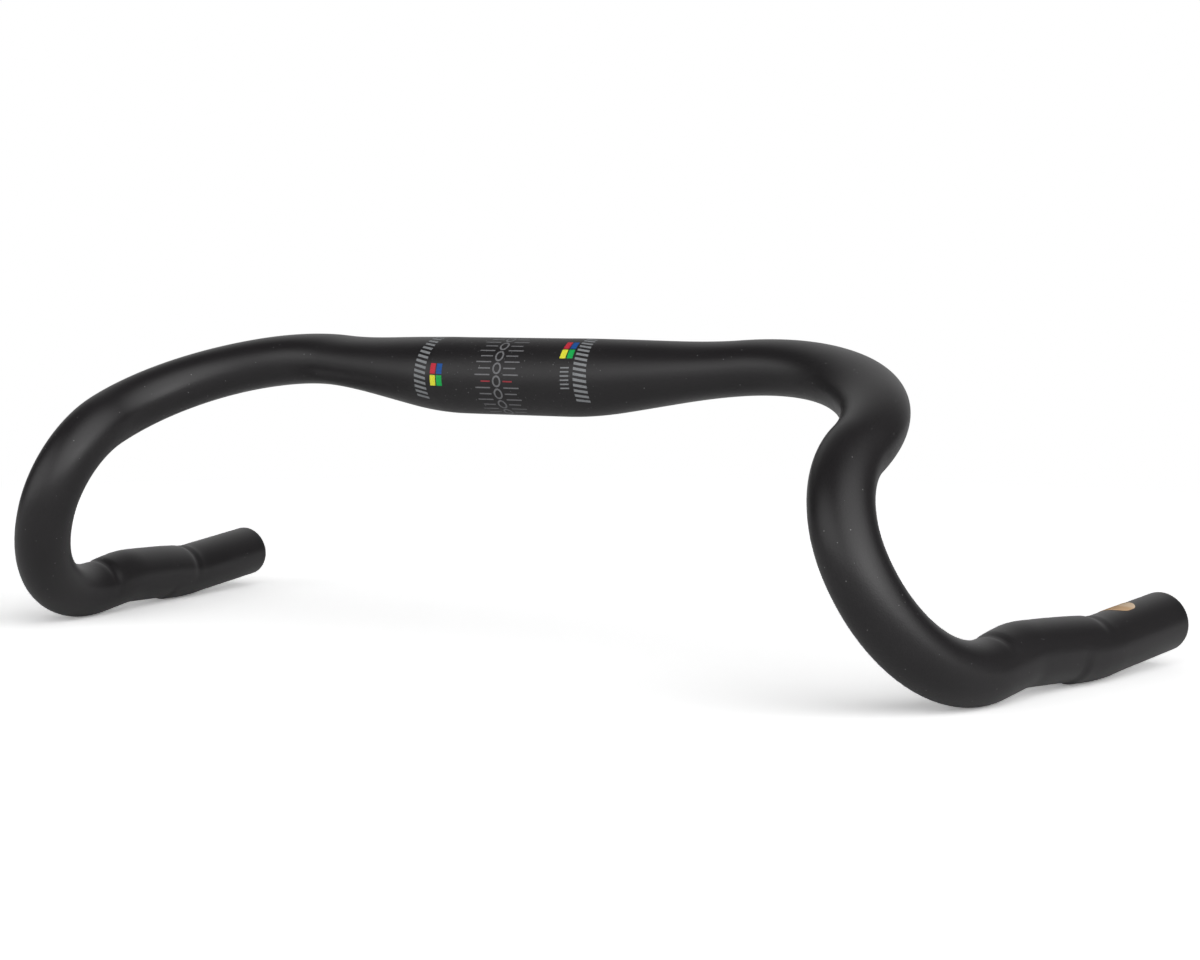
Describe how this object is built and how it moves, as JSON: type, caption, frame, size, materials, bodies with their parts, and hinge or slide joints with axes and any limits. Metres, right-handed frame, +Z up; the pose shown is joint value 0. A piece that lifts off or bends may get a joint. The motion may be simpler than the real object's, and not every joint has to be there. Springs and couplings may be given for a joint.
{
  "type": "flared drop handlebar",
  "caption": "Flared drop handlebar bent from one matt black tube, with a round clamp zone, flattened tops and a double palm bend in each drop.",
  "frame": {"origin": "centre of the round clamp zone, on the tube's axis", "axes": "+X along the clamp zone towards the end that carries the label, which is the rider's left; +Y backwards to the rider, so the hooks reach towards -Y; +Z up, as the bar rests on its hooks and palm swells"},
  "size_m": [0.5004, 0.1937, 0.1284],
  "materials": {
    "bar": "matt black fine-grained coat",
    "label": "uncoated tan paper"
  },
  "bodies": {
    "root": {"handlebar": "bar", "end_label": "label"}
  },
  "joints": []
}
